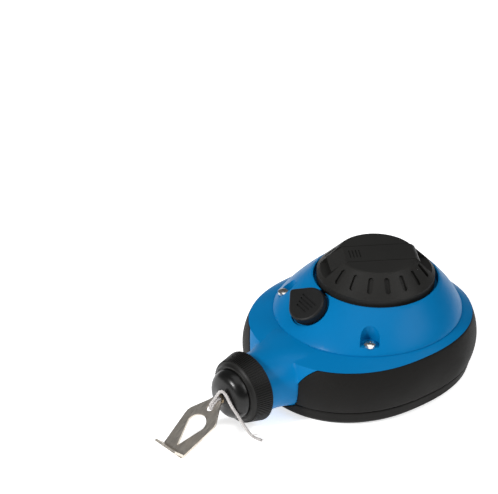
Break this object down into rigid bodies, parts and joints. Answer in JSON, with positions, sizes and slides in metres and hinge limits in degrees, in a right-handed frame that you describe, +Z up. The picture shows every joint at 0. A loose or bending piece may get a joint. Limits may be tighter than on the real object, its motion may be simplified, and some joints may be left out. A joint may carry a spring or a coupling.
{
  "type": "chalk line reel",
  "caption": "Egg-shaped reel that winds a chalked marking line: folding crank on a dial, lock lever, screw-on nose, steel end hook.",
  "frame": {"origin": "on the flat base, where the axis of the spool and the crank meets it", "axes": "+Z up along the spool's axis, -Y along the nose towards the hook, +X across the body"},
  "size_m": [0.0942, 0.1697, 0.0572],
  "materials": {
    "shell_blue": "smooth moulded plastic with a soft gloss",
    "grip_black": "matte moulded rubber",
    "screw_steel": "bright zinc-plated steel",
    "axle_steel": "turned steel",
    "bearing_plastic": "natural acetal",
    "inner_plastic": "moulded plastic",
    "gear_plastic": "natural moulded gears",
    "line_string": "twisted cotton line",
    "felt": "pressed felt",
    "dial_charcoal": "satin moulded plastic",
    "lever_black": "satin moulded plastic",
    "collar_black": "fine ribbed moulded plastic",
    "nose_black": "smooth moulded plastic",
    "eyelet_brass": "turned brass",
    "gasket_rubber": "soft rubber",
    "hook_steel": "stamped sheet steel"
  },
  "bodies": {
    "case": {"lower_shell": "shell_blue", "upper_shell": "shell_blue", "upper_bumper": "grip_black", "lower_bumper": "grip_black", "case_screws": "screw_steel", "centre_axle": "axle_steel", "gear_plate": "inner_plastic", "plate_screws": "screw_steel", "ring_gear": "gear_plastic", "spool_seal": "felt", "line_run": "line_string"},
    "crank": {"crank_dial": "dial_charcoal", "lock_ring": "dial_charcoal", "planet_carrier": "inner_plastic", "planet_pins": "axle_steel", "carrier_screw": "screw_steel", "carrier_washer": "axle_steel", "arm_hinge_pin": "axle_steel"},
    "arm": {"crank_arm": "dial_charcoal", "knob_pin": "axle_steel"},
    "knob": {"crank_knob": "dial_charcoal"},
    "spool": {"spool": "inner_plastic", "sun_gear": "gear_plastic", "line_winding": "line_string", "spool_bush": "bearing_plastic"},
    "planet_1": {"planet_gear_1": "gear_plastic"},
    "planet_2": {"planet_gear_2": "gear_plastic"},
    "planet_3": {"planet_gear_3": "gear_plastic"},
    "lever": {"lock_lever": "lever_black", "lever_shaft": "axle_steel", "lever_clip": "axle_steel"},
    "bolt": {"lock_bolt": "lever_black"},
    "nose": {"nose_dome": "nose_black", "line_eyelet": "eyelet_brass", "felt_wiper": "felt", "wiper_retainer": "inner_plastic", "neck_gasket": "gasket_rubber", "line_knot": "line_string", "line_tail": "line_string"},
    "collar": {"nose_collar": "collar_black"},
    "hook": {"end_hook": "hook_steel"}
  },
  "joints": [
    {"name": "crank_spin", "type": "hinge", "parent": "case", "child": "crank", "pos_m": [0, 0, 0.045], "axis": [0, 0, 1], "continuous": true},
    {"name": "spool_spin", "type": "hinge", "parent": "case", "child": "spool", "pos_m": [0, 0, 0.017], "axis": [0, 0, 1], "continuous": true},
    {"name": "planet_1_spin", "type": "hinge", "parent": "crank", "child": "planet_1", "pos_m": [0.0135, 0, 0.0335], "axis": [0, 0, 1], "continuous": true},
    {"name": "planet_2_spin", "type": "hinge", "parent": "crank", "child": "planet_2", "pos_m": [-0.00675, 0.01169, 0.0335], "axis": [0, 0, 1], "continuous": true},
    {"name": "planet_3_spin", "type": "hinge", "parent": "crank", "child": "planet_3", "pos_m": [-0.00675, -0.01169, 0.0335], "axis": [0, 0, 1], "continuous": true},
    {"name": "arm_fold", "type": "hinge", "parent": "crank", "child": "arm", "pos_m": [0.0085, 0.01308, 0.0537], "axis": [-0.8387, 0.5446, 0], "range_deg": [0, 180]},
    {"name": "knob_spin", "type": "hinge", "parent": "arm", "child": "knob", "pos_m": [-0.00741, -0.01141, 0.047], "axis": [0, 0, 1], "continuous": true},
    {"name": "lever_turn", "type": "hinge", "parent": "case", "child": "lever", "pos_m": [-0.004, -0.036, 0.0399], "axis": [0, 0.5948, -0.8039], "range_deg": [0, 45]},
    {"name": "bolt_slide", "type": "slide", "parent": "case", "child": "bolt", "axis": [0.155, 0.9879, 0], "range_m": [0, 0.0026]},
    {"name": "nose_slide", "type": "slide", "parent": "case", "child": "nose", "axis": [0, -1, 0], "range_m": [0, 0.01201]},
    {"name": "collar_turn", "type": "hinge", "parent": "nose", "child": "collar", "pos_m": [0, -0.079, 0.0167], "axis": [0, -1, 0], "range_deg": [0, 1440]},
    {"name": "hook_swing", "type": "hinge", "parent": "nose", "child": "hook", "pos_m": [0, -0.0969, 0.0143], "axis": [-1, 0, 0], "range_deg": [0, 60]}
  ],
  "couplings": [
    {"joint": "spool_spin", "follows": "crank_spin", "ratio": 3},
    {"joint": "planet_1_spin", "follows": "crank_spin", "ratio": -4},
    {"joint": "planet_2_spin", "follows": "crank_spin", "ratio": -4},
    {"joint": "planet_3_spin", "follows": "crank_spin", "ratio": -4},
    {"joint": "bolt_slide", "follows": "lever_turn", "m_per_rad": 0.0033104},
    {"joint": "nose_slide", "follows": "collar_turn", "m_per_rad": 0.00047746}
  ]
}
